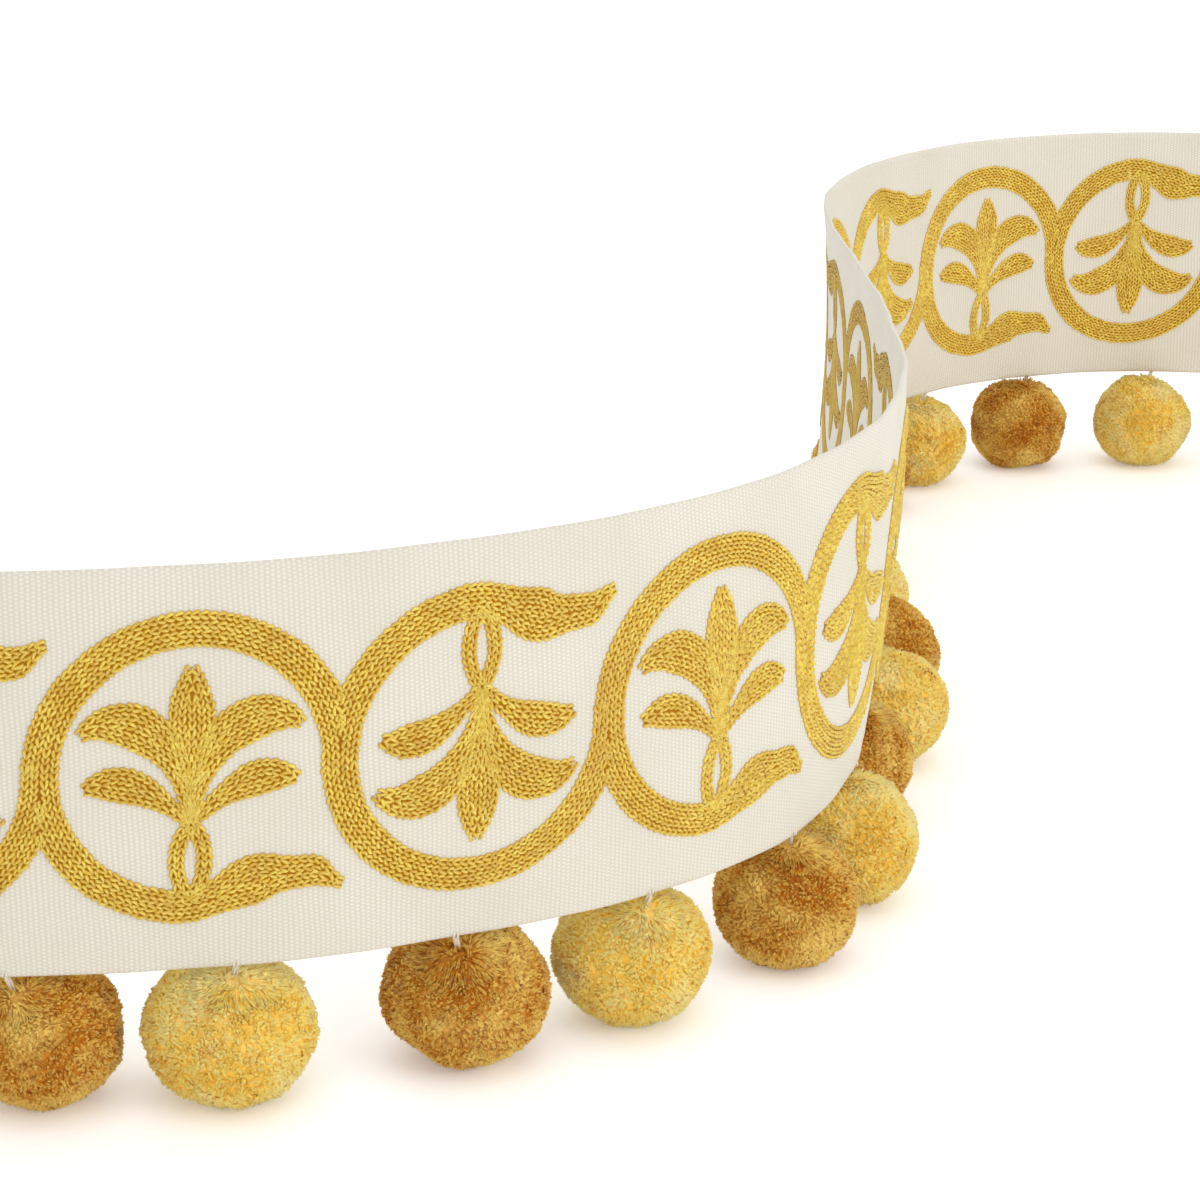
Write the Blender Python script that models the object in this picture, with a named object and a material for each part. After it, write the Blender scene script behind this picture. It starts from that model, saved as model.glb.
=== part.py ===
"""Embroidered pompom braid trim: one cut length of ribbed tape standing on edge on its pompoms,
bent into an S. Metres, +Z up, the surface it stands on at z = 0, origin under the middle."""

import math
from collections import namedtuple

import bmesh
import bpy
from mathutils import Vector

MM = 0.001

# The tape: a woven band on edge, its embroidered face on the right of the direction of travel.
TAPE_WIDTH = 76 * MM
TAPE_THICKNESS = 1.2 * MM
TAPE_EDGE_Z = 28 * MM         # height of the tape's lower edge
TAPE_BOW = 2.0 * MM            # how far the mid-height stands proud of the two edges
BOW_FADE = (24 * MM, 60 * MM)  # flat up to the first distance from a cut end, full from the second

# The plan of the S, from the near end: a run, the turn to the left along it, and the outward
# lean of the tape's top that it ends with.
Section = namedtuple("Section", "run_mm turn_deg lean_deg")
PLAN = (
    Section(36, 0, 0),
    Section(24, 8, 0),
    Section(50, 14, 0),
    Section(60, 16, -1),
    Section(50, 24, -1),
    Section(40, 19, 3),
    Section(50, 12, 6),
    Section(60, 4, 5),
    Section(90, 1, 1),
    Section(50, -14, 0),
    Section(50, -20, 0),
    Section(50, -27, 0),
    Section(50, -30, 0),
    Section(50, -20, 0),
    Section(12, -4, 0),
    Section(30, 0, 0),
)
START_HEADING_DEG = -51
START = Vector((-294 * MM, -7.3 * MM))
STATION = 1 * MM      # spacing of the points that the plan is summed over
EASE = 24 * MM        # length over which one section's curvature runs into the next
STATIONS_PER_CUT = 6  # the solid has a cross-section every 6 stations
ROWS = 4              # strips across the tape's width

# The pompoms hang from the lower edge at an even pitch. Each has rolled a little off it, its
# hollow still towards its tie, and is pressed flat where it stands.
POMPOM_FIRST = 13 * MM
POMPOM_PITCH = 41 * MM
POMPOM_TOP = 27.4 * MM
POMPOM_PRESSED = 1.3 * MM      # how much of the ball's height the flat foot takes away
DIMPLE_DEPTH = 2.6 * MM        # the hollow that the tie draws into the pile
DIMPLE_WIDTH = math.radians(14)
# angles from the middle of the hollow at which the pile's skin has a ring of corners
POMPOM_RINGS_DEG = (6, 14, 26, 40, 56, 72, 88, 104, 120, 136, 152, 167)
POMPOM_SIDES = 14
# diameter, and how far the centre lies along and across (towards the embroidered face) from its tie
Pompom = namedtuple("Pompom", "shade diameter_mm along_mm across_mm")
POMPOMS = (
    Pompom("light", 32, 1, -3),
    Pompom("dark", 31, 4, -8),
    Pompom("light", 33, -1, -6),
    Pompom("dark", 33, 5, -8),
    Pompom("light", 32, 1, -7),
    Pompom("dark", 30, 2, -2),
    Pompom("light", 31, -4, 0),
    Pompom("dark", 31, 2, -3),
    Pompom("light", 33, -4, 6),
    Pompom("dark", 32, -5, 8),
    Pompom("light", 32, -2, 5),
    Pompom("dark", 32, 5, 5),
    Pompom("light", 31, -1, 4),
    Pompom("dark", 31, 5, 0),
    Pompom("light", 32, -2, -2),
    Pompom("dark", 31, -3, 1),
    Pompom("light", 31, -3, 5),
    Pompom("dark", 32, 2, -2),
)

# The thread tie between the tape's edge and a pompom.
TIE_RADIUS = 0.9 * MM
TIE_SIDES = 8
TIE_HEAD_GAP = 0.35 * MM   # to the tape's edge
TIE_FLOOR_GAP = 0.65 * MM  # to the middle of the hollow's floor

COLOURS = {
    "tape": (0.87, 0.84, 0.76, 1.0),
    "light": (0.72, 0.47, 0.13, 1.0),
    "dark": (0.42, 0.24, 0.055, 1.0),
    "tie": (0.88, 0.85, 0.78, 1.0),
}
ROUGHNESS = {"tape": 0.8, "light": 0.9, "dark": 0.9, "tie": 0.7}

Place = namedtuple("Place", "point heading lean")


def clear_scene():
    for item in list(bpy.data.objects):
        bpy.data.objects.remove(item, do_unlink=True)


def make_material(name):
    material = bpy.data.materials.new(name)
    material.use_nodes = True
    shader = material.node_tree.nodes["Principled BSDF"]
    shader.inputs["Base Color"].default_value = COLOURS[name]
    shader.inputs["Roughness"].default_value = ROUGHNESS[name]
    shader.inputs["Metallic"].default_value = 0.0
    return material


def eased(values, width):
    """Running mean over `width` values, with the end values carried on past both ends."""
    half = width // 2
    padded = [values[0]] * half + list(values) + [values[-1]] * half
    total = sum(padded[: 2 * half + 1])
    means = [total / (2 * half + 1)]
    for i in range(1, len(values)):
        total += padded[i + 2 * half] - padded[i - 1]
        means.append(total / (2 * half + 1))
    return means


def plan_places():
    """The tape's mid-height line in plan, one Place for each station."""
    bends = []
    leans = [0.0]
    for section in PLAN:
        count = round(section.run_mm * MM / STATION)
        bends += [math.radians(section.turn_deg) / count] * count
        before = leans[-1]
        after = math.radians(section.lean_deg)
        leans += [before + (after - before) * (i + 1) / count for i in range(count)]
    bends = eased(bends, round(EASE / STATION))
    leans = eased(leans, round(EASE / STATION))
    point = START.copy()
    heading = math.radians(START_HEADING_DEG)
    places = [Place(point.copy(), heading, leans[0])]
    for bend, lean in zip(bends, leans[1:]):
        middle = heading + bend / 2
        point += STATION * Vector((math.cos(middle), math.sin(middle)))
        heading += bend
        places.append(Place(point.copy(), heading, lean))
    return places


def outward(place):
    """The level direction that the embroidered face looks in."""
    return Vector((math.sin(place.heading), -math.cos(place.heading), 0))


def bow_at(distance, length):
    """The bow of the cross-section, which fades out towards both cut ends."""
    flat, full = BOW_FADE
    from_end = min(distance, length - distance)
    share = min(max((from_end - flat) / (full - flat), 0.0), 1.0)
    return TAPE_BOW * share * share * (3 - 2 * share)


def tape_point(place, bow, share, side):
    """A point of the tape's skin: share runs up the width, side is +1 on the embroidered face."""
    up = Vector((0, 0, 1))
    rise = outward(place) * math.sin(place.lean) + up * math.cos(place.lean)
    face = outward(place) * math.cos(place.lean) - up * math.sin(place.lean)
    middle = place.point.to_3d() + up * (TAPE_EDGE_Z + TAPE_WIDTH / 2)
    proud = bow * (1 - (2 * share - 1) ** 2) + side * TAPE_THICKNESS / 2
    return middle + rise * ((share - 0.5) * TAPE_WIDTH) + face * proud


def make_tape(places, material):
    length = (len(places) - 1) * STATION
    cuts = list(range(0, len(places) - 1, STATIONS_PER_CUT)) + [len(places) - 1]
    shares = [row / ROWS for row in range(ROWS + 1)]
    mesh = bmesh.new()
    loops = []
    for cut in cuts:
        bow = bow_at(cut * STATION, length)
        outer = [tape_point(places[cut], bow, share, 1) for share in shares]
        inner = [tape_point(places[cut], bow, share, -1) for share in reversed(shares)]
        loops.append([mesh.verts.new(point) for point in outer + inner])
    around = len(loops[0])
    for near, far in zip(loops, loops[1:]):
        for i in range(around):
            j = (i + 1) % around
            mesh.faces.new((near[i], near[j], far[j], far[i]))
    for loop in (loops[0], loops[-1]):
        for row in range(ROWS):
            back = around - 1 - row
            mesh.faces.new((loop[row], loop[row + 1], loop[back - 1], loop[back]))
    return finish_object("tape", mesh, material)


def pompom_half_height():
    return (POMPOM_TOP + POMPOM_PRESSED) / 2


def pompom_centre(place, pompom, edge):
    along = Vector((math.cos(place.heading), math.sin(place.heading), 0))
    centre = edge + along * pompom.along_mm * MM + outward(place) * pompom.across_mm * MM
    return Vector((centre.x, centre.y, POMPOM_TOP - pompom_half_height()))


def pompom_reach(direction, from_hollow, radius):
    """How far the pile reaches from the centre: a squashed ball with a hollow at its tie."""
    level = math.hypot(direction.x, direction.y)
    ball = 1 / math.hypot(level / radius, direction.z / pompom_half_height())
    return ball - DIMPLE_DEPTH * math.exp(-((from_hollow / DIMPLE_WIDTH) ** 2))


def make_pompom(name, place, pompom, edge, material):
    centre = pompom_centre(place, pompom, edge)
    radius = pompom.diameter_mm * MM / 2
    turned = (edge - centre).to_track_quat("Z", "Y")

    def skin(tilt, turn):
        level = math.sin(tilt)
        direction = turned @ Vector((level * math.cos(turn), level * math.sin(turn), math.cos(tilt)))
        return centre + direction * pompom_reach(direction, tilt, radius)

    mesh = bmesh.new()
    top = mesh.verts.new(skin(0, 0))
    bottom = mesh.verts.new(skin(math.pi, 0))
    turns = [math.tau * side / POMPOM_SIDES for side in range(POMPOM_SIDES)]
    rings = [
        [mesh.verts.new(skin(math.radians(tilt), turn)) for turn in turns] for tilt in POMPOM_RINGS_DEG
    ]
    for i in range(POMPOM_SIDES):
        j = (i + 1) % POMPOM_SIDES
        mesh.faces.new((top, rings[0][i], rings[0][j]))
        mesh.faces.new((bottom, rings[-1][j], rings[-1][i]))
        for upper, lower in zip(rings, rings[1:]):
            mesh.faces.new((upper[i], lower[i], lower[j], upper[j]))
    press_flat(mesh)
    return finish_object(name, mesh, material)


def press_flat(mesh):
    """Cut away what lies below the surface and close the cut with one flat face."""
    everything = mesh.verts[:] + mesh.edges[:] + mesh.faces[:]
    cut = bmesh.ops.bisect_plane(
        mesh,
        geom=everything,
        dist=0.01 * MM,
        plane_co=(0, 0, 0),
        plane_no=(0, 0, -1),
        clear_outer=True,
    )
    rim = [item for item in cut["geom_cut"] if isinstance(item, bmesh.types.BMEdge)]
    bmesh.ops.contextual_create(mesh, geom=rim)


def make_tie(name, place, pompom, edge, material):
    """A short round of thread from just under the tape's edge to just above the hollow's floor."""
    centre = pompom_centre(place, pompom, edge)
    direction = (edge - centre).normalized()
    slope = math.hypot(direction.x, direction.y)
    floor = pompom_reach(direction, 0, pompom.diameter_mm * MM / 2) + TIE_FLOOR_GAP
    head = (edge - centre).length - (TIE_HEAD_GAP + TIE_RADIUS * slope) / direction.z
    mesh = bmesh.new()
    bmesh.ops.create_cone(
        mesh,
        cap_ends=True,
        segments=TIE_SIDES,
        radius1=TIE_RADIUS,
        radius2=TIE_RADIUS,
        depth=head - floor,
    )
    turned = direction.to_track_quat("Z", "Y").to_matrix().to_4x4()
    bmesh.ops.transform(mesh, verts=mesh.verts, matrix=turned)
    bmesh.ops.translate(mesh, verts=mesh.verts, vec=centre + direction * (head + floor) / 2)
    return finish_object(name, mesh, material)


def finish_object(name, mesh, material):
    bmesh.ops.recalc_face_normals(mesh, faces=mesh.faces)
    data = bpy.data.meshes.new(name)
    mesh.to_mesh(data)
    mesh.free()
    data.materials.append(material)
    data.shade_smooth()
    data.set_sharp_from_angle(angle=math.radians(40))
    item = bpy.data.objects.new(name, data)
    bpy.context.scene.collection.objects.link(item)
    return item


def main():
    clear_scene()
    materials = {name: make_material(name) for name in COLOURS}
    places = plan_places()
    make_tape(places, materials["tape"])
    for number, pompom in enumerate(POMPOMS):
        distance = POMPOM_FIRST + number * POMPOM_PITCH
        place = places[round(distance / STATION)]
        edge = tape_point(place, 0.0, 0.0, 0)
        label = f"{number + 1:02d}"
        make_pompom("pompom_" + label, place, pompom, edge, materials[pompom.shade])
        make_tie("tie_" + label, place, pompom, edge, materials["tie"])


main()
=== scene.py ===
"""The looks of the embroidered pompom braid trim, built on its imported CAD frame.

Lengths are in millimetres until a mesh is made. A place on the tape is (s, v, out): how far
along it, how far up its width, and how far out of its middle layer towards the embroidered face.
"""

import math
from collections import namedtuple

import bmesh
import bpy
import numpy as np
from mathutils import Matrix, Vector


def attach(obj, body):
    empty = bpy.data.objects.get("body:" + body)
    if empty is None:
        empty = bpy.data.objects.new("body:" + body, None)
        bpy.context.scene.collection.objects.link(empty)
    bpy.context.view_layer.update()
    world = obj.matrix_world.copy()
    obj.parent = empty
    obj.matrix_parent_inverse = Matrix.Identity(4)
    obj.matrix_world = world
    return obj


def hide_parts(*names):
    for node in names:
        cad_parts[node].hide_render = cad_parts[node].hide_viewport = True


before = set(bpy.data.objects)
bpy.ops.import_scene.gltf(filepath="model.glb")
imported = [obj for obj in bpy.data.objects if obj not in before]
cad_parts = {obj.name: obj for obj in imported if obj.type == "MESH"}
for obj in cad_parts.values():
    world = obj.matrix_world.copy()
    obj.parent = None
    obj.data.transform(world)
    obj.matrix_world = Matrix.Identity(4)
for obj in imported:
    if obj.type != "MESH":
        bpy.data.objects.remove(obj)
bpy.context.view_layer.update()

MM = 0.001

# ---------------------------------------------------------------- the tape's line, as in the CAD
TAPE_WIDTH = 76.0
TAPE_EDGE_Z = 28.0
TAPE_BOW = 2.0
BOW_FADE = (24.0, 60.0)
Section = namedtuple("Section", "run turn_deg lean_deg")
PLAN = (
    Section(36, 0, 0),
    Section(24, 8, 0),
    Section(50, 14, 0),
    Section(60, 16, -1),
    Section(50, 24, -1),
    Section(40, 19, 3),
    Section(50, 12, 6),
    Section(60, 4, 5),
    Section(90, 1, 1),
    Section(50, -14, 0),
    Section(50, -20, 0),
    Section(50, -27, 0),
    Section(50, -30, 0),
    Section(50, -20, 0),
    Section(12, -4, 0),
    Section(30, 0, 0),
)
START = (-294.0, -7.3)
START_HEADING = math.radians(-51)
EASE = 24

# ---------------------------------------------------------------- sizes of the visual model
HALF_SHEET = 0.5        # half the tape's thickness
SELVEDGE = 1.3          # width of the firmer edge
TAPE_ROWS = 13          # rows of points across a face, between the selvedges
TAPE_STATIONS = 377     # cross-sections along the tape
RIB_PITCH = 0.95
PICK_PITCH = 0.38

REPEAT = 52.0           # one ring of the scroll
RING_COUNT = 14
FIRST_RING = 36.5       # its centre, along the tape
RING_HEIGHT = 38.8      # its centre, up the tape
SKEW = 0.05             # the scroll's lean along the tape, per millimetre up it
RING_RADIUS = 26.0
RING_DEG = (-97, -366)  # where the band of a standing motif's ring starts and ends
RING_POINTS = 420
BAND = 6.6
ROW = 1.65              # spacing of the chain-stitch rows
STITCH = 1.45           # length of one chain stitch
SHORTEST_STITCH = 0.4
STEP = 0.25             # spacing of the points along a stroke of the palmette

POMPOM_FIRST = 13.0
POMPOM_PITCH = 41.0
POMPOM_TOP = 27.4
POMPOM_PRESSED = 1.3
DIMPLE_DEPTH = 2.6
DIMPLE_WIDTH = math.radians(14)
YARN_ENDS = 9600
TUFT = 4                # ends that stand together as one tuft
CORE_DEPTH = 0.75       # how far the ball's smooth core lies under its skin
# the core's value: painted shade, the deep colour showing between the yarn ends
CORE_SHADE = 0.25
TIE_STRANDS = 5
STRAND_RADIUS = 0.24
STRAND_SIDES = 6

# diameter, shift along and out from the tape's edge, and painted shadow: how much darker the wool of the
# far balls is, which lie in the far tape's shadow
Pompom = namedtuple("Pompom", "shade diameter along across tone")
POMPOMS = (
    Pompom("light", 32, 1, -3, 0.0),
    Pompom("dark", 31, 4, -8, 0.0),
    Pompom("light", 33, -1, -6, 0.0),
    Pompom("dark", 33, 5, -8, 0.0),
    Pompom("light", 32, 1, -7, 0.0),
    Pompom("dark", 30, 2, -2, 0.0),
    Pompom("light", 31, -4, 0, 0.0),
    Pompom("dark", 31, 2, -3, 0.0),
    Pompom("light", 33, -4, 6, 0.0),
    Pompom("dark", 32, -5, 8, 0.0),
    Pompom("light", 32, -2, 5, 0.0),
    Pompom("dark", 32, 5, 5, 0.0),
    Pompom("light", 31, -1, 4, -0.14),
    Pompom("dark", 31, 5, 0, -0.14),
    Pompom("light", 32, -2, -2, -0.14),
    Pompom("dark", 31, -3, 1, -0.14),
    Pompom("light", 31, -3, 5, -0.14),
    Pompom("dark", 32, 2, -2, -0.14),
)

# ---------------------------------------------------------------- where the random numbers start
MOTIF_SEED = 100
POMPOM_SEED = 300
TIE_SEED = 500
WORN_SEED = 600
CLUMP_SEED = 650
SKIN_SEED = 700
PARTING_SEED = 800
PARTED_SEED = 850
SWIRL_SEED = 900

# ---------------------------------------------------------------- the view
CAMERA_PLACE = (-0.543, -0.4784, 0.2641)
CAMERA_TURN = (1.2538, 0, -0.7916)
CAMERA_LENS = 92.6


# ================================================================ the line and the map onto it
def smooth_step(value, low, high):
    """From 0 at low to 1 at high, without a corner at either end."""
    share = np.clip((value - low) / (high - low), 0, 1)
    return share * share * (3 - 2 * share)


def eased(values):
    """Values at every millimetre, with each change spread over the easing length."""
    padded = np.pad(values, EASE // 2, mode="edge")
    return np.convolve(padded, np.ones(EASE + 1) / (EASE + 1), "valid")


def plan_line():
    """The middle line at every millimetre: its x, y, heading and lean."""
    bends = np.concatenate([np.full(p.run, math.radians(p.turn_deg) / p.run) for p in PLAN])
    ends = np.cumsum([0] + [p.run for p in PLAN])
    lean_ends = [0] + [math.radians(p.lean_deg) for p in PLAN]
    leans = np.interp(np.arange(ends[-1] + 1), ends, lean_ends)
    bends = eased(bends)
    heading = START_HEADING + np.concatenate([[0], np.cumsum(bends)])
    middle = (heading[1:] + heading[:-1]) / 2
    x = START[0] + np.concatenate([[0], np.cumsum(np.cos(middle))])
    y = START[1] + np.concatenate([[0], np.cumsum(np.sin(middle))])
    return x, y, heading, eased(leans)


LINE_X, LINE_Y, LINE_HEADING, LINE_LEAN = plan_line()
TAPE_LENGTH = float(len(LINE_X) - 1)


def along_line(s, values):
    return np.interp(s, np.arange(len(values)), values)


def bow_at(s):
    """How far the tape's middle stands out from its edges."""
    return TAPE_BOW * smooth_step(np.minimum(s, TAPE_LENGTH - s), *BOW_FADE)


def ripple(s, v):
    """The slight unevenness of a soft tape: a broad swell, and a finer one towards its edges."""
    edge = (2 * v / TAPE_WIDTH - 1) ** 4
    swell = 0.22 * np.sin(s / 19 + v / 31) * np.cos(v / 17 - s / 47)
    return swell + edge * (0.22 * np.sin(s / 8.3 + 1.1) + 0.12 * np.sin(s / 3.7 + v))


def on_tape(s, v, out):
    """Rows of x, y, z in metres for places on the tape."""
    s, v, out = np.broadcast_arrays(*(np.asarray(a, dtype=float) for a in (s, v, out)))
    heading = along_line(s, LINE_HEADING)
    lean = along_line(s, LINE_LEAN)
    nx, ny = np.sin(heading), -np.cos(heading)
    across = (v / TAPE_WIDTH - 0.5) * TAPE_WIDTH
    proud = bow_at(s) * (1 - (2 * v / TAPE_WIDTH - 1) ** 2) + out + ripple(s, v)
    level = across * np.sin(lean) + proud * np.cos(lean)
    x = along_line(s, LINE_X) + nx * level
    y = along_line(s, LINE_Y) + ny * level
    z = TAPE_EDGE_Z + TAPE_WIDTH / 2 + across * np.cos(lean) - proud * np.sin(lean)
    return np.stack([x, y, z], axis=-1) * MM


# ================================================================ meshes from arrays
def mesh_object(name, verts, faces, uvs=None, materials=(), slots=None, smooth=True, painted_light_and_tone=None):
    """A mesh from vertex rows and face rows that all have the same number of corners."""
    verts = np.asarray(verts, dtype=np.float32)
    faces = np.asarray(faces, dtype=np.int32)
    count, corners = faces.shape
    data = bpy.data.meshes.new(name)
    data.vertices.add(len(verts))
    data.vertices.foreach_set("co", verts.ravel())
    data.loops.add(count * corners)
    data.loops.foreach_set("vertex_index", faces.ravel())
    data.polygons.add(count)
    data.polygons.foreach_set("loop_start", np.arange(count, dtype=np.int32) * corners)
    data.polygons.foreach_set("use_smooth", np.full(count, smooth))
    for material in materials:
        data.materials.append(material)
    if slots is not None:
        data.polygons.foreach_set("material_index", np.asarray(slots, dtype=np.int32))
    if uvs is not None:
        layer = data.uv_layers.new(name="Weave")
        layer.data.foreach_set("uv", np.asarray(uvs, dtype=np.float32)[faces.ravel()].ravel())
    # the value paints light into the colour: painted shade where it is low, painted highlight on the yarn
    # tips, with random tone
    if painted_light_and_tone is not None:
        attribute = data.attributes.new("painted_light_and_tone", "FLOAT", "POINT")
        attribute.data.foreach_set("value", np.asarray(painted_light_and_tone, dtype=np.float32))
    data.update(calc_edges=True)
    data.validate()
    item = bpy.data.objects.new(name, data)
    bpy.context.scene.collection.objects.link(item)
    return item


def strips(rows, columns, closed=False):
    """Quads of a grid of vertices that is stored row by row."""
    last = columns if closed else columns - 1
    row, column = np.meshgrid(np.arange(rows - 1), np.arange(last), indexing="ij")
    following = (column + 1) % columns
    here = row * columns
    above = here + columns
    quads = [here + column, here + following, above + following, above + column]
    return np.stack(quads, axis=-1).reshape(-1, 4)


# ================================================================ materials
class Nodes:
    """Short calls for building a node tree."""

    def __init__(self, name):
        self.material = bpy.data.materials.new(name)
        self.material.use_nodes = True
        self.tree = self.material.node_tree
        self.shader = self.tree.nodes["Principled BSDF"]

    def put(self, socket, value):
        if isinstance(value, bpy.types.NodeSocket):
            self.tree.links.new(value, socket)
        else:
            socket.default_value = value

    def add(self, kind, *values, output=0, **settings):
        node = self.tree.nodes.new(kind)
        for key, value in settings.items():
            setattr(node, key, value)
        for socket, value in zip(node.inputs, values):
            if value is not None:
                self.put(socket, value)
        return node.outputs[output]

    def math(self, operation, *values):
        return self.add("ShaderNodeMath", *values, operation=operation)

    def noise(self, vector, scale, detail=2.0, roughness=0.5):
        node = self.tree.nodes.new("ShaderNodeTexNoise")
        self.put(node.inputs["Vector"], vector)
        node.inputs["Scale"].default_value = scale
        node.inputs["Detail"].default_value = detail
        node.inputs["Roughness"].default_value = roughness
        return node.outputs["Fac"]

    def mix(self, share, first, second):
        node = self.tree.nodes.new("ShaderNodeMix")
        node.data_type = "RGBA"
        self.put(node.inputs["Factor"], share)
        # the colour sockets share their names with the number ones
        for socket, value in zip([i for i in node.inputs if i.type == "RGBA"], (first, second)):
            self.put(socket, value)
        return [o for o in node.outputs if o.type == "RGBA"][0]

    def spread(self, value, low, high, to_low=0.0, to_high=1.0):
        node = self.tree.nodes.new("ShaderNodeMapRange")
        for socket, number in zip(node.inputs, (value, low, high, to_low, to_high)):
            self.put(socket, number)
        return node.outputs[0]

    def bump(self, height, distance, normal=None, strength=1.0):
        node = self.tree.nodes.new("ShaderNodeBump")
        node.inputs["Strength"].default_value = strength
        node.inputs["Distance"].default_value = distance * MM
        self.put(node.inputs["Height"], height)
        if normal is not None:
            self.put(node.inputs["Normal"], normal)
        return node.outputs["Normal"]

    def finish(self, **sockets):
        for name, value in sockets.items():
            self.put(self.shader.inputs[name.replace("_", " ")], value)
        return self.material


def colour(red, green, blue):
    """A linear colour from the 0 to 255 values that a screen shows."""
    shown = (red, green, blue)
    linear = [((c / 255 + 0.055) / 1.055) ** 2.4 if c > 10 else c / 3295 for c in shown]
    return (*linear, 1.0)


PLY_TWIST = 0.5         # length of one turn of a thread's plies
# name, main, light and deep colours, roughness, shine; the deep colour is also the painted shade of ply
# grooves, strand edges and ground sheets
EMBROIDERY_THREADS = (
    ("gold_thread", colour(233, 195, 46), colour(252, 230, 100), colour(188, 134, 10), 0.32, 0.7),
    # the ground: a dark sheet under the stitches of the face, painted shade between the rows
    ("painted_shade_sheet", colour(184, 132, 10), colour(194, 142, 16), colour(166, 114, 6), 0.8, 0.2),
    ("reverse_thread", colour(200, 170, 74), colour(216, 188, 104), colour(170, 132, 44), 0.7, 0.2),
)
TIE_THREAD = ("tie_thread", colour(248, 244, 236), colour(254, 252, 246), colour(224, 214, 200), 0.7, 0.2)
WOOLS = {
    # the light colour is also the painted highlight on the yarn tips, the deep colour the painted shade
    # at roots, core and partings
    "light": ("straw_wool", colour(255, 224, 104), colour(255, 240, 164), colour(226, 156, 38)),
    "dark": ("old_gold_wool", colour(210, 144, 42), colour(255, 220, 118), colour(152, 64, 6)),
}


def tape_material():
    """Plain weave: ribs across the tape, picks along it, and a slight unevenness of the yarn."""
    n = Nodes("ribbed_tape")
    uv = n.tree.nodes.new("ShaderNodeUVMap")
    uv.uv_map = "Weave"
    split = n.tree.nodes.new("ShaderNodeSeparateXYZ")
    n.put(split.inputs[0], uv.outputs[0])
    u, v = split.outputs[0], split.outputs[1]
    wander = n.math("MULTIPLY", n.math("SUBTRACT", n.noise(uv.outputs[0], 0.06), 0.5), 1.2)
    ribs = n.math("SINE", n.math("MULTIPLY", n.math("ADD", u, wander), math.pi / RIB_PITCH))
    picks = n.math("SINE", n.math("MULTIPLY", v, math.pi / PICK_PITCH))
    weave = n.math("ADD", 0.5, n.math("MULTIPLY", n.math("MULTIPLY", ribs, picks), 0.5))
    rounded = n.math("MULTIPLY", n.math("ABSOLUTE", ribs), 0.45)
    height = n.math("ADD", n.math("MULTIPLY", weave, 0.6), rounded)
    fibre = n.noise(uv.outputs[0], 3.2, 3.0)
    height = n.math("ADD", height, n.math("MULTIPLY", fibre, 0.3))
    patches = n.noise(uv.outputs[0], 0.045, 3.0)
    base = n.mix(n.spread(patches, 0.3, 0.7), colour(221, 216, 204), colour(228, 223, 213))
    # painted shade: the weave's low places are mixed towards a darker colour, its high places keep the
    # lighter one
    base = n.mix(n.spread(height, 0.3, 1.1), colour(202, 195, 178), base)
    return n.finish(
        Base_Color=base,
        Roughness=0.82,
        Sheen_Weight=0.12,
        Sheen_Roughness=0.5,
        Normal=n.bump(height, 0.12, strength=0.7),
    )


def thread_material(name, shade, light, deep, roughness, shine):
    """Plied thread: u runs along a strand, v round it, and its painted value follows its depth: painted
    shade where the strand lies low.
    """
    n = Nodes(name)
    uv = n.tree.nodes.new("ShaderNodeUVMap")
    uv.uv_map = "Weave"
    split = n.tree.nodes.new("ShaderNodeSeparateXYZ")
    n.put(split.inputs[0], uv.outputs[0])
    depth = n.tree.nodes.new("ShaderNodeAttribute")
    depth.attribute_name = "painted_light_and_tone"
    plies = n.math("ADD", n.math("DIVIDE", split.outputs[0], PLY_TWIST), split.outputs[1])
    ply = n.math("ABSOLUTE", n.math("SINE", n.math("MULTIPLY", plies, math.pi)))
    where = n.tree.nodes.new("ShaderNodeTexCoord").outputs["Object"]
    patch = n.noise(where, 90.0, 2.0)
    single = n.noise(where, 900.0, 1.0)
    base = n.mix(n.spread(single, 0.34, 0.62), shade, light)
    base = n.mix(n.spread(patch, 0.4, 0.8, 0.0, 0.35), base, deep)
    # painted shade in the grooves between the plies
    base = n.mix(n.spread(ply, 0.0, 0.7, 0.3, 0.0), base, deep)
    # painted shade: a strand darker towards its edges than on its ridge; a value of 0, as on the ground
    # sheets, and a mesh without the value, such as the ties, take the deep colour all over
    base = n.mix(n.spread(depth.outputs["Fac"], 0.2, 0.8, 1.0, 0.0), base, deep)
    return n.finish(
        Base_Color=base,
        Roughness=roughness,
        Sheen_Weight=0.1,
        Sheen_Roughness=0.35,
        Sheen_Tint=(1.0, 0.88, 0.5, 1.0),
        Specular_IOR_Level=shine,
        Normal=n.bump(ply, 0.05, strength=0.6),
    )


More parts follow.
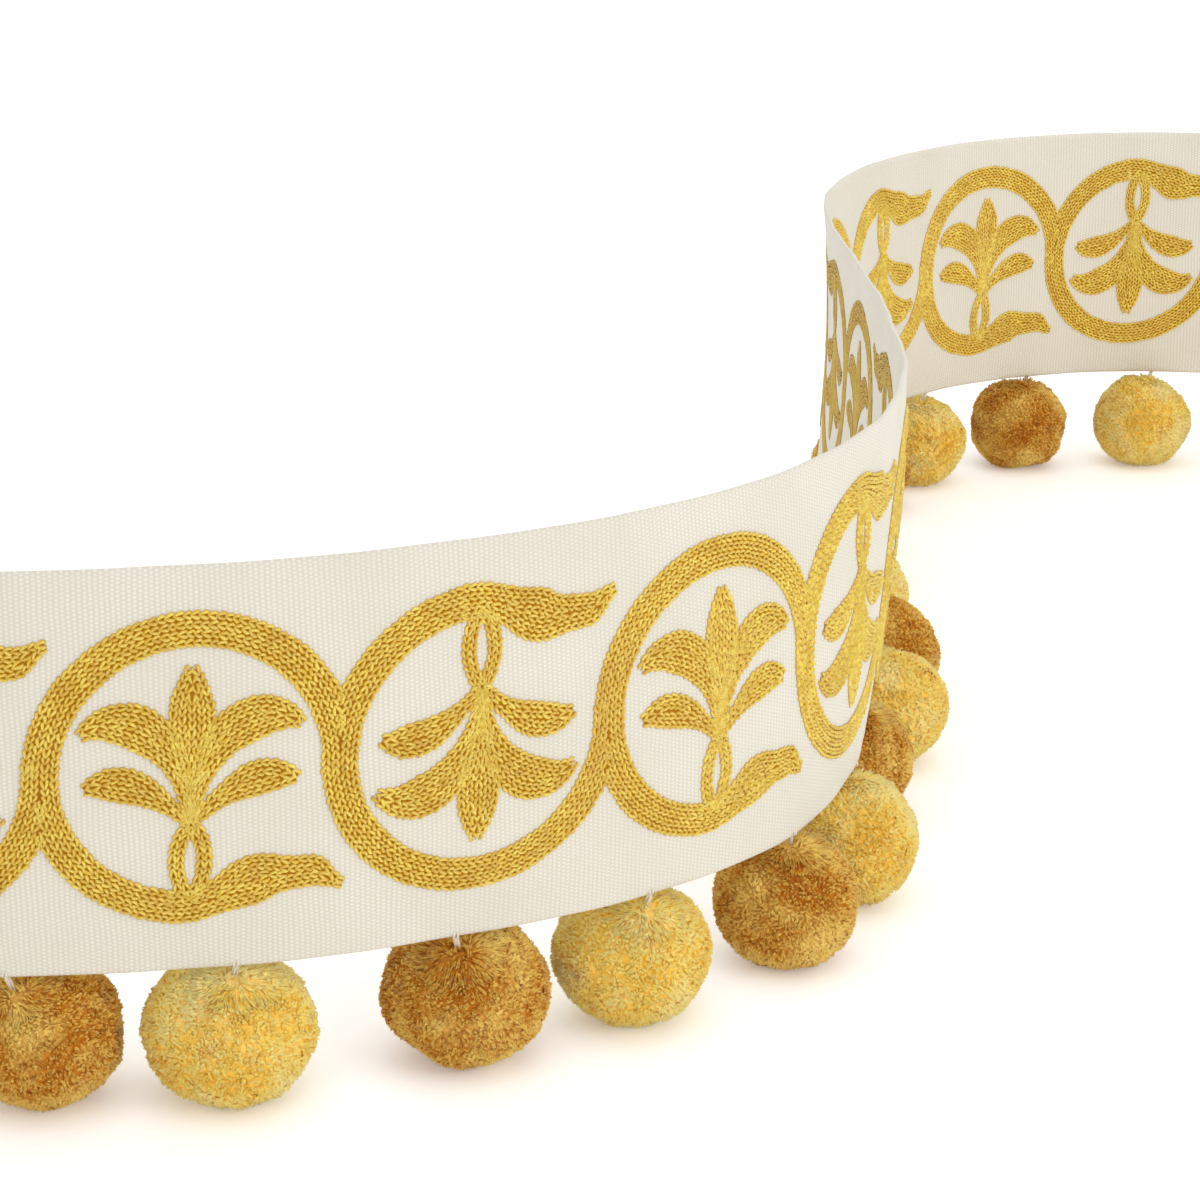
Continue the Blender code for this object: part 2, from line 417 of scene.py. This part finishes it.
def wool_material(name, shade, light, deep):
    """The cut ends of the yarn, with painted highlight on their tips and painted shade in the gaps
    between them and on the core.
    """
    n = Nodes(name)
    where = n.tree.nodes.new("ShaderNodeTexCoord").outputs["Object"]
    painted_light_and_tone = n.tree.nodes.new("ShaderNodeAttribute")
    painted_light_and_tone.attribute_name = "painted_light_and_tone"
    broad = n.noise(where, 90.0, 3.0)
    fine = n.noise(where, 1400.0, 2.0)
    base = n.mix(n.spread(broad, 0.46, 0.66, 0.0, 0.9), shade, light)
    base = n.mix(n.spread(broad, 0.3, 0.46, 0.4, 0.0), base, deep)
    base = n.mix(n.spread(fine, 0.38, 0.5, 0.35, 0.0), base, deep)
    base = n.mix(n.spread(fine, 0.54, 0.66, 0.0, 0.5), base, light)
    # painted shade: roots, core and partings mixed towards the deep colour
    base = n.mix(n.spread(painted_light_and_tone.outputs["Fac"], 0.0, 0.45, 0.85, 0.0), base, deep)
    # painted highlight: the yarn tips mixed towards the light colour
    base = n.mix(n.spread(painted_light_and_tone.outputs["Fac"], 0.6, 1.05), base, light)
    return n.finish(
        Base_Color=base,
        Roughness=0.95,
        Sheen_Weight=0.28,
        Sheen_Roughness=0.4,
        Sheen_Tint=(1.0, 0.82, 0.46, 1.0),
        Specular_IOR_Level=0.1,
        Normal=n.bump(fine, 0.14, strength=0.5),
    )


# ================================================================ the tape
def make_tape(material):
    """A closed sheet: a flat loop with thinner edges, carried along the tape."""
    flats = np.linspace(SELVEDGE + 0.4, TAPE_WIDTH - SELVEDGE - 0.4, TAPE_ROWS)
    edge = [(0.12, 0.42), (0.6, 0.58), (SELVEDGE, 0.56)]
    far_edge = [(TAPE_WIDTH - v, out) for v, out in edge[::-1]]
    rising = edge + [(v, HALF_SHEET) for v in flats] + far_edge
    falling = [(v, -out) for v, out in rising[::-1]]
    loop = np.array([(0.0, 0.0)] + rising + [(TAPE_WIDTH, 0.0)] + falling)
    around = len(loop)
    s = np.repeat(np.linspace(0, TAPE_LENGTH, TAPE_STATIONS), around)
    v = np.tile(loop[:, 0], TAPE_STATIONS)
    out = np.tile(loop[:, 1], TAPE_STATIONS)
    faces = strips(TAPE_STATIONS, around, closed=True)[:, ::-1]
    near_cut = np.array([[i, i + 1, around - i - 1, around - i] for i in range(1, around // 2 - 1)])
    far_cut = near_cut[:, ::-1] + (TAPE_STATIONS - 1) * around
    faces = np.concatenate([faces, near_cut, far_cut])
    uvs = np.stack([s, v], axis=-1)
    return mesh_object("ribbed_tape", on_tape(s, v, out), faces, uvs, [material])


# ================================================================ the scroll
# A stroke is rows of x, y, width along its middle line, from the ring's centre, for a ring whose
# palmette stands up. The palmette is the plain classical one: a spear between two pairs of leaves
# that mirror each other. Each leaf sets out from the heart and curls outwards along its length.
HEART_Y = -10.0
ROOT_WIDTH = 2.6
Leaf = namedtuple("Leaf", "start_deg curl_deg length width")
SPEAR = Leaf(90, 0, 30, 9)
LEAF_PAIR = (
    Leaf(98, 130, 33, 9),
    Leaf(135, 75, 22, 7.5),
)
STEM_BULGE = 2.5        # the two strands of the stem part to leave an eye
STEM_WIDTH = 3.0
OFFSHOOT_START = -4.0
OFFSHOOT_LENGTH = 31.0
OFFSHOOT_RISE = 5.0
OFFSHOOT_NOD = 3.0
OFFSHOOT_SWELL = 3.5


def leaf_line(leaf, side):
    """A leaf to the left (side 1) or the right (side -1) of the heart, widest past its middle."""
    t = np.linspace(0, 1, round(leaf.length / STEP))
    heading = np.radians(leaf.start_deg + leaf.curl_deg * t**2)
    x = np.cumsum(np.cos(heading)) * STEP * side
    y = HEART_Y + np.cumsum(np.sin(heading)) * STEP
    belly = np.sin(math.pi * t**1.7) ** 1.2
    width = ROOT_WIDTH * (1 - 0.3 * t) + (leaf.width - ROOT_WIDTH) * belly
    return np.stack([x, y, width], axis=-1)


def stem_line(side):
    """One of the two strands from the heart down to the ring."""
    drop = RING_RADIUS + HEART_Y - BAND / 4
    t = np.linspace(0, 1, round(drop / STEP))
    bulge = side * STEM_BULGE * np.sin(math.pi * t) ** 0.7
    return np.stack([bulge, HEART_Y - drop * t, np.full(len(t), STEM_WIDTH)], axis=-1)


def offshoot_line():
    """The long leaf that the ring sends along the tape's edge, with one swell and a nodding tip."""
    t = np.linspace(0, 1, round(OFFSHOOT_LENGTH / STEP))
    x = OFFSHOOT_START + OFFSHOOT_LENGTH * t
    nod = OFFSHOOT_NOD * smooth_step(t, 0.82, 1.0)
    y = -RING_RADIUS + OFFSHOOT_RISE * smooth_step(t, 0.1, 0.6) - nod
    swell = OFFSHOOT_SWELL * np.exp(-(((t - 0.48) / 0.14) ** 2))
    width = (BAND + swell) * (1 - 0.65 * smooth_step(t, 0.8, 1.0))
    return np.stack([x, y, width], axis=-1)


def side_of(line):
    """Unit normals to the left of a line of x, y rows."""
    run = np.gradient(line[:, :2], axis=0)
    run /= np.hypot(run[:, 0], run[:, 1])[:, None] + 1e-9
    return np.stack([-run[:, 1], run[:, 0]], axis=-1)


def stitch_rows(line):
    """Rows of stitches that follow both outlines of a stroke, with one down the middle if it fits."""
    normal = side_of(line)
    width = line[:, 2]
    pairs = np.zeros(len(line))
    rows = []
    for place in range(8):
        inset = width / 2 - (place + 0.5) * ROW
        keep = inset > 0.2 * ROW
        pairs += keep
        for side in (1, -1):
            rows += runs(line[:, :2] + normal * (side * inset)[:, None], keep)
    rows += runs(line[:, :2], width - 2 * pairs * ROW > 0.3 * ROW)
    return rows


def runs(path, keep):
    """The stretches of a path whose points are kept, when they are long enough for a stitch."""
    marks = np.flatnonzero(np.diff(np.concatenate([[0], keep.astype(int), [0]])))
    pieces = [path[a:b] for a, b in zip(marks[::2], marks[1::2])]
    return [piece for piece in pieces if len(piece) > 3]


def stitches_of(path, rng):
    """Start and end points of the chain stitches along a path."""
    lengths = np.concatenate([[0], np.cumsum(np.hypot(*np.diff(path, axis=0).T))])
    count = int(round(lengths[-1] / STITCH))
    if count < 1:
        return np.zeros((0, 4))
    marks = np.linspace(0, lengths[-1], count + 1)
    marks[1:-1] += rng.uniform(-0.14, 0.14, count - 1) * STITCH
    points = np.stack([np.interp(marks, lengths, path[:, i]) for i in (0, 1)], axis=-1)
    points += rng.normal(0, 0.05, points.shape)
    return np.hstack([points[:-1], points[1:]])


def ring_line():
    angles = np.radians(np.linspace(*RING_DEG, RING_POINTS))
    x = RING_RADIUS * np.cos(angles)
    y = RING_RADIUS * np.sin(angles)
    return np.stack([x, y, np.full(RING_POINTS, BAND)], axis=-1)


def motif_lines(hanging):
    """The strokes of one repeat: its palmette and the ring's offshoot, and the ring by itself.

    A hanging palmette is the standing one after half a turn. The ring and its offshoot are
    mirrored instead, so that the scroll keeps its direction along the tape.
    """
    half_turn = (-1, -1, 1) if hanging else (1, 1, 1)
    mirror = (1, -1, 1) if hanging else (1, 1, 1)
    palmette = [leaf_line(SPEAR, 1), stem_line(1), stem_line(-1)]
    palmette += [leaf_line(leaf, side) for leaf in LEAF_PAIR for side in (1, -1)]
    lines = [line * half_turn for line in palmette]
    lines.append(offshoot_line() * mirror)
    return lines, ring_line() * mirror


def strand_mesh(stitches, rng, face_out, height, loops):
    """Half-round strands over the stitches: a pair that makes a chain's loop, or a straight one.

    Each strand has rings of three corners. Returns vertices, quads, uvs and values of painted shade.
    """
    start, end = stitches[:, :2], stitches[:, 2:]
    run = end - start
    length = np.hypot(run[:, 0], run[:, 1])[:, None]
    run = run / length
    side = np.stack([-run[:, 1], run[:, 0]], axis=-1)
    if loops:
        shares = np.array([-0.14, 0.34, 0.76, 1.10])
        spread = np.array([0.0, 0.36, 0.56, 0.38])
        radius = np.array([0.24, 0.37, 0.37, 0.26])
        rise = np.array([0.45, 1.0, 0.95, 0.25])
        sides = (1, -1)
    else:
        shares = np.array([-0.12, 1.12])
        spread = np.zeros(2)
        radius = np.array([0.42, 0.42])
        rise = np.array([0.8, 0.8])
        sides = (1,)
    verts, faces, uvs, painted_shading = [], [], [], []
    count, rings = len(stitches), len(shares)
    for which in sides:
        scale = rng.uniform(0.9, 1.12, (count, 1))
        lift = height * rng.uniform(0.85, 1.15, (count, 1))
        shift = rng.uniform(0, 40, (count, 1))
        middle = start[:, None] + run[:, None] * (shares[None, :, None] * length[:, None])
        middle = middle + side[:, None] * (which * spread[None, :, None] * scale[:, None])
        corners = []
        for across, up in ((-1, 0.0), (0, 1.0), (1, 0.0)):
            place = middle + side[:, None] * (across * radius[None, :, None] * scale[:, None])
            out = face_out * (HALF_SHEET + 0.05 + up * rise[None, :] * lift)
            corners.append(np.concatenate([place, out[:, :, None]], axis=-1))
        grid = np.stack(corners, axis=2)
        verts.append(grid.reshape(-1, 3))
        u = shift[:, :, None] + shares[None, :, None] * length[:, :, None] + np.zeros((1, 1, 3))
        v = np.broadcast_to(np.array([0.0, 0.5, 1.0])[None, None, :], u.shape)
        uvs.append(np.stack([u, v], axis=-1).reshape(-1, 2))
        # painted shade: each strand darker at its two edges than on its ridge, and darker at its low
        # ends, with a random shift per strand
        ridge = np.array([0.35, 1.0, 0.35]) * (0.4 + 0.6 * rise[:, None])
        painted_shading.append((ridge * rng.uniform(0.75, 1.1, (count, 1, 1))).ravel())
        one = strips(rings, 3)
        base = (np.arange(count) * rings * 3)[:, None, None] + sum(len(f) for f in verts[:-1])
        quads = (one[None] + base).reshape(-1, 4)
        faces.append(quads if face_out < 0 else quads[:, ::-1])
    return np.concatenate(verts), np.concatenate(faces), np.concatenate(uvs), np.concatenate(painted_shading)


def ribbon_mesh(line, face_out, inset):
    """A flat ground sheet under a stroke, a little narrower than it, in its material's deep colour; on
    the face it is painted shade between the rows of stitches.
    """
    line = line[line[:, 2] > 2.3]
    line = line[::3] if len(line) > 30 else line
    half = np.maximum(line[:, 2] / 2 - inset, 0.15)[:, None]
    normal = side_of(line)
    left = line[:, :2] + normal * half
    right = line[:, :2] - normal * half
    grid = np.stack([left, line[:, :2], right], axis=1).reshape(-1, 2)
    out = np.full((len(grid), 1), face_out * (HALF_SHEET + 0.10))
    faces = strips(len(line), 3)
    if face_out > 0:
        faces = faces[:, ::-1]
    # its value 0 paints the sheet all over in the material's deep colour
    return np.hstack([grid, out]), faces, grid, np.zeros(len(grid))


def beyond_neighbour(x, y, hanging):
    """Where a ring's band would lie on its neighbour's, since bands that meet share their width."""
    reach = RING_RADIUS + 0.35
    towards_open = y if hanging else -y
    return (x > reach) | ((x < -reach) & (towards_open > 0))


def make_motif(index, materials):
    """One repeat: chain stitch on the face over its ground, a dark sheet that is painted shade between
    the rows, and the thread runs on the reverse.
    """
    rng = np.random.default_rng(MOTIF_SEED + index)
    hanging = index % 2 == 0
    lines, ring = motif_lines(hanging)
    stitched = [stitches_of(row, rng) for line in lines for row in stitch_rows(line)]
    band = np.vstack([stitches_of(row, rng) for row in stitch_rows(ring)])
    middle = (band[:, :2] + band[:, 2:]) / 2
    band = band[~beyond_neighbour(middle[:, 0], middle[:, 1], hanging)]
    stitched = np.vstack(stitched + [band])
    lengths = np.hypot(*(stitched[:, 2:] - stitched[:, :2]).T)
    stitched = stitched[lengths > SHORTEST_STITCH]
    ragged = stitched + rng.normal(0, 0.12, stitched.shape)
    parts = [
        strand_mesh(stitched, rng, 1, 0.62, True) + (0,),
        strand_mesh(ragged, rng, -1, 0.34, False) + (2,),
    ]
    for line in lines + [ring]:
        # the face's ground sheet is painted shade between the rows of stitches
        parts.append(ribbon_mesh(line, 1, 0.45) + (1,))
        parts.append(ribbon_mesh(line, -1, 0.35) + (2,))
    # the ring's grounds, front and back, end where its neighbour's begin
    for points, *_rest in parts[-2:]:
        over = beyond_neighbour(points[:, 0], points[:, 1], hanging)
        points[over, 0] = np.sign(points[over, 0]) * RING_RADIUS
    verts, faces, uvs, painted_shading, slots = [], [], [], [], []
    offset = 0
    for points, quads, places, depth, slot in parts:
        verts.append(points)
        faces.append(quads + offset)
        uvs.append(places)
        painted_shading.append(depth)
        slots.append(np.full(len(quads), slot))
        offset += len(points)
    verts = np.concatenate(verts)
    s = FIRST_RING + REPEAT * index + verts[:, 0] + SKEW * verts[:, 1]
    v = RING_HEIGHT + verts[:, 1]
    return mesh_object(
        f"embroidery_{index + 1:02d}",
        on_tape(s, v, verts[:, 2]),
        np.concatenate(faces),
        np.concatenate(uvs),
        materials,
        np.concatenate(slots),
        painted_light_and_tone=np.concatenate(painted_shading),
    )


# ================================================================ the pompoms
def waves(points, wavelength, count, rng):
    """Smooth noise of about unit size: cosines of random direction and phase."""
    directions = rng.normal(size=(count, 3))
    directions /= np.linalg.norm(directions, axis=1)[:, None]
    lengths = wavelength * rng.uniform(0.7, 1.4, (count, 1))
    phases = rng.uniform(0, math.tau, count)
    swings = np.cos(points @ (directions * math.tau / lengths).T + phases)
    return swings.sum(axis=1) / math.sqrt(count / 2)


def seeded_waves(points, wavelength, count, seed):
    return waves(points, wavelength, count, np.random.default_rng(seed))


def ball_grid(subdivisions):
    """Directions and triangles of a ball that all the pompoms share."""
    mesh = bmesh.new()
    bmesh.ops.create_icosphere(mesh, subdivisions=subdivisions, radius=1.0)
    directions = np.array([vert.co[:] for vert in mesh.verts])
    faces = np.array([[vert.index for vert in face.verts] for face in mesh.faces])
    mesh.free()
    return directions, faces


def pompom_frame(number, pompom):
    """The pompom's centre, its tie's point on the tape's edge, and the turn that aims its hollow."""
    s = round(POMPOM_FIRST + number * POMPOM_PITCH)
    heading, lean = LINE_HEADING[s], LINE_LEAN[s]
    normal = np.array([math.sin(heading), -math.cos(heading), 0.0])
    along = np.array([math.cos(heading), math.sin(heading), 0.0])
    drop = TAPE_WIDTH / 2
    edge = np.array([LINE_X[s], LINE_Y[s], TAPE_EDGE_Z + drop]) - normal * drop * math.sin(lean)
    edge[2] -= drop * math.cos(lean)
    centre = edge + along * pompom.along + normal * pompom.across
    centre[2] = POMPOM_TOP - (POMPOM_TOP + POMPOM_PRESSED) / 2
    aim = Vector(edge - centre).to_track_quat("Z", "Y")
    return centre, edge, np.array(aim.to_matrix())


def make_pompom(number, pompom, grid, material):
    """A smooth core under the cut ends of the yarn, as one mesh."""
    rng = np.random.default_rng(POMPOM_SEED + number)
    centre, _edge, aim = pompom_frame(number, pompom)
    radius = pompom.diameter / 2
    half_height = (POMPOM_TOP + POMPOM_PRESSED) / 2

    def skin(directions):
        """Directions in the world, their angles from the tie, and how far out the skin lies."""
        world = directions @ aim.T
        tilt = np.arccos(np.clip(directions[:, 2], -1, 1))
        ball = 1 / np.hypot(np.hypot(world[:, 0], world[:, 1]) / radius, world[:, 2] / half_height)
        hollow = 0.5 * np.exp(-((tilt / DIMPLE_WIDTH) ** 2))
        lumps = seeded_waves(world * radius, 17.0, 20, SKIN_SEED + number)
        clumps = seeded_waves(world * radius, 4.0, 24, SKIN_SEED + number + 1)
        return world, tilt, ball - hollow + 0.32 * lumps + 0.14 * clumps - 0.2

    directions, faces = grid
    world, _tilt, reach = skin(directions)
    core = centre + world * (reach - CORE_DEPTH)[:, None]
    core[:, 2] = np.maximum(core[:, 2], 0.08)
    yarn, yarn_faces, yarn_shade = make_yarn_ends(number, pompom.tone, centre, aim, skin, rng)
    # values of painted light: the core as painted shade, the yarn ends dark at the root and light at the
    # tip
    shade = np.concatenate([np.full(len(core), CORE_SHADE), yarn_shade])
    return mesh_object(
        f"wool_ball_{number + 1:02d}",
        np.concatenate([core, yarn]) * MM,
        np.concatenate([faces, yarn_faces + len(core)]),
        None,
        [material],
        painted_light_and_tone=np.clip(shade, 0, 1),
    )


def unit(rows):
    return rows / (np.linalg.norm(rows, axis=1)[:, None] + 1e-9)


def yarn_spots(rng):
    """Directions of the yarn ends: tufts spread evenly over the ball, with their ends scattered."""
    count = YARN_ENDS // TUFT
    turn = np.arange(count) * math.pi * (3 - math.sqrt(5))
    level = 1 - 2 * (np.arange(count) + 0.5) / count
    round_it = np.sqrt(1 - level**2)
    spots = np.stack([round_it * np.cos(turn), round_it * np.sin(turn), level], axis=-1)
    spots += rng.normal(0, 0.014, spots.shape)
    spots = np.repeat(spots[spots[:, 2] < math.cos(0.05)], TUFT, axis=0)
    return unit(spots + rng.normal(0, 0.017, spots.shape))


def make_yarn_ends(number, tone, centre, aim, skin, rng):
    """The cut ends of the yarn that make the ball: short blunt spikes of three sides.

    Near the tie they are combed away from it and stand up, and along a few partings they part.
    """
    world, tilt, reach = skin(yarn_spots(rng))
    count = len(world)
    places = world * 16
    combed = np.exp(-(((tilt - 0.36) / 0.22) ** 2))[:, None]
    raised = np.exp(-((tilt / 0.22) ** 2))[:, None]
    parted = np.exp(-((seeded_waves(places, 9.0, 14, PARTING_SEED + number) / 0.09) ** 2))
    parted *= seeded_waves(places, 14.0, 12, PARTED_SEED + number) > 0.3

    away = unit(world * np.cos(tilt)[:, None] - aim[:, 2])
    swirl_seeds = [SWIRL_SEED + number * 3 + i for i in range(3)]
    swirl = np.stack([seeded_waves(places, 6.0, 12, seed) for seed in swirl_seeds], axis=-1)
    lean = np.repeat(rng.normal(0, 0.24, (count // TUFT, 3)), TUFT, axis=0)
    scatter = rng.normal(0, 0.14, (count, 3))
    axis = unit(world + 0.3 * swirl + lean + scatter + 2.2 * combed * away * (1 - raised))
    first = unit(np.cross(axis, rng.normal(size=(count, 3))))
    second = np.cross(axis, first)

    length = rng.uniform(0.88, 1.1, (count, 1)) + 1.3 * combed + 1.2 * raised - 0.3 * parted[:, None]
    thick = rng.uniform(0.42, 0.56, (count, 1)) - 0.16 * combed
    stray = rng.random((count, 1)) < 0.02
    length = np.where(stray, length + 0.5, length)
    thick = np.where(stray, 0.14, thick)
    root = centre + world * (reach - 0.8 - 0.4 * parted)[:, None]
    angles = (0, 2.09, 4.19)
    corners = [root + (first * math.cos(a) + second * math.sin(a)) * thick for a in angles]
    verts = np.stack(corners + [root + axis * length], axis=1)
    verts[:, :, 2] = np.clip(verts[:, :, 2], 0.06, TAPE_EDGE_Z - 0.35)
    spike = np.array([[0, 1, 3], [1, 2, 3], [2, 0, 3]])
    faces = (spike[None] + (np.arange(count) * 4)[:, None, None]).reshape(-1, 3)

    worn = seeded_waves(places, 16.0, 20, WORN_SEED + number)
    clumps = seeded_waves(places, 3.0, 24, CLUMP_SEED + number)
    # painted shadow on the far balls, then random tone per tuft
    value = tone + np.repeat(rng.normal(0.70, 0.17, count // TUFT), TUFT)
    value += rng.normal(0, 0.10, count) + 0.12 * worn + 0.10 * clumps
    # painted light: the ends around the tie, on the ball's top, lighter; painted shade: the ends along
    # the partings darker
    value += 0.28 * combed[:, 0] - 0.55 * parted
    value = np.where(rng.random(count) < 0.03, 0.15, value)
    # painted shade at each end's root, painted highlight at its tip
    shade = np.stack([0.35 * value] * 3 + [value + 0.32], axis=1).ravel()
    return verts.reshape(-1, 3), faces, shade


# ================================================================ the ties
def tube(points, radius, sides):
    """Vertices and quads of a round thread along points."""
    run = np.gradient(points, axis=0)
    run /= np.linalg.norm(run, axis=1)[:, None]
    helper = np.array([0.31, 0.77, 0.55])
    first = np.cross(run, helper)
    first /= np.linalg.norm(first, axis=1)[:, None]
    second = np.cross(run, first)
    angles = (np.arange(sides) * math.tau / sides)[None, :, None]
    rings = first[:, None] * np.cos(angles) + second[:, None] * np.sin(angles)
    verts = (points[:, None] + rings * radius).reshape(-1, 3)
    return verts, strips(len(points), sides, closed=True)


def make_tie(number, pompom, material):
    """Strands of thread from inside the hollow up over the tape's edge to a small stitch."""
    rng = np.random.default_rng(TIE_SEED + number)
    centre, edge, aim = pompom_frame(number, pompom)
    s = POMPOM_FIRST + number * POMPOM_PITCH
    depth = POMPOM_TOP / 2 - DIMPLE_DEPTH - 1.0
    root = edge - aim[:, 2] * (np.linalg.norm(edge - centre) - depth)
    verts, faces, uvs = [], [], []
    offset = 0
    for strand in range(TIE_STRANDS):
        turn = strand * math.tau / TIE_STRANDS + rng.uniform(-0.3, 0.3)
        t = np.linspace(0, 1, 9)[:, None]
        radius = 0.55 - 0.2 * t
        angle = turn + 2.2 * t
        swing = aim[:, 0] * np.cos(angle) * radius + aim[:, 1] * np.sin(angle) * radius
        rise = root + (edge - root) * t + swing
        side = 1 if strand % 2 else -1
        up = np.array([0.15, 0.5, 0.9]) + rng.uniform(0, 0.3)
        over = on_tape(s + 0.35 * (strand - 2), up, side * np.array([0.75, 0.72, 0.45])) / MM
        path = np.concatenate([rise, over])
        ring, quads = tube(path, STRAND_RADIUS, STRAND_SIDES)
        verts.append(ring)
        faces.append(quads + offset)
        u = np.repeat(np.arange(len(path)) * 0.5, STRAND_SIDES)
        v = np.tile(np.arange(STRAND_SIDES) / STRAND_SIDES, len(path))
        uvs.append(np.stack([u, v], axis=-1))
        offset += len(ring)
    return mesh_object(
        f"tie_thread_{number + 1:02d}",
        np.concatenate(verts) * MM,
        np.concatenate(faces),
        np.concatenate(uvs),
        [material],
    )


# ================================================================ floor, light and camera
def make_floor():
    n = Nodes("pale_floor")
    where = n.tree.nodes.new("ShaderNodeTexCoord").outputs["Object"]
    base = n.mix(n.noise(where, 3.0), (0.95, 0.95, 0.95, 1), (0.97, 0.97, 0.97, 1))
    material = n.finish(
        Base_Color=base,
        Roughness=0.6,
        Specular_IOR_Level=0.25,
        Emission_Color=(1, 1, 1, 1),
        Emission_Strength=0.2,
    )
    size = 6.0
    verts = [(-size, -size, 0), (size, -size, 0), (size, size, 0), (-size, size, 0)]
    floor = mesh_object("floor", verts, [[0, 1, 2, 3]], None, [material], smooth=False)


def add_area(name, place, target, size, power):
    data = bpy.data.lights.new(name, "AREA")
    data.shape = "RECTANGLE"
    data.size, data.size_y = size
    data.energy = power
    lamp = bpy.data.objects.new(name, data)
    lamp.location = place
    lamp.rotation_euler = (Vector(target) - Vector(place)).to_track_quat("-Z", "Y").to_euler()
    bpy.context.scene.collection.objects.link(lamp)


def add_light_and_camera():
    world = bpy.data.worlds.new("soft_room")
    bpy.context.scene.world = world
    world.use_nodes = True
    background = world.node_tree.nodes["Background"]
    background.inputs[0].default_value = (1.0, 1.0, 0.99, 1)
    background.inputs[1].default_value = 0.91
    add_area("top", (0.05, -0.1, 1.6), (0, 0, 0), (1.6, 1.6), 5)
    add_area("front", (0.1, -1.5, 0.8), (0, 0, 0.05), (1.0, 0.8), 5)
    bpy.context.scene.view_settings.view_transform = "Standard"
    data = bpy.data.cameras.new("camera")
    data.lens = CAMERA_LENS
    data.sensor_width = 36.0
    data.clip_start = 0.01
    camera = bpy.data.objects.new("camera", data)
    camera.location = CAMERA_PLACE
    camera.rotation_euler = CAMERA_TURN
    bpy.context.scene.collection.objects.link(camera)
    bpy.context.scene.camera = camera


# ================================================================ putting it together
def main():
    add_light_and_camera()
    make_floor()

    tape = make_tape(tape_material())
    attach(tape, "root")
    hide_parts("tape")

    threads = [thread_material(*thread) for thread in EMBROIDERY_THREADS]
    pieces = []
    for index in range(RING_COUNT):
        motif = make_motif(index, threads)
        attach(motif, "root")
        pieces.append(motif)

    wool = {shade: wool_material(*yarn) for shade, yarn in WOOLS.items()}
    thread = thread_material(*TIE_THREAD)
    grid = ball_grid(4)
    for number, pompom in enumerate(POMPOMS):
        ball = make_pompom(number, pompom, grid, wool[pompom.shade])
        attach(ball, "root")
        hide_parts(f"pompom_{number + 1:02d}")
        tie = make_tie(number, pompom, thread)
        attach(tie, "root")
        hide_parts(f"tie_{number + 1:02d}")
        pieces += [ball, tie]


main()
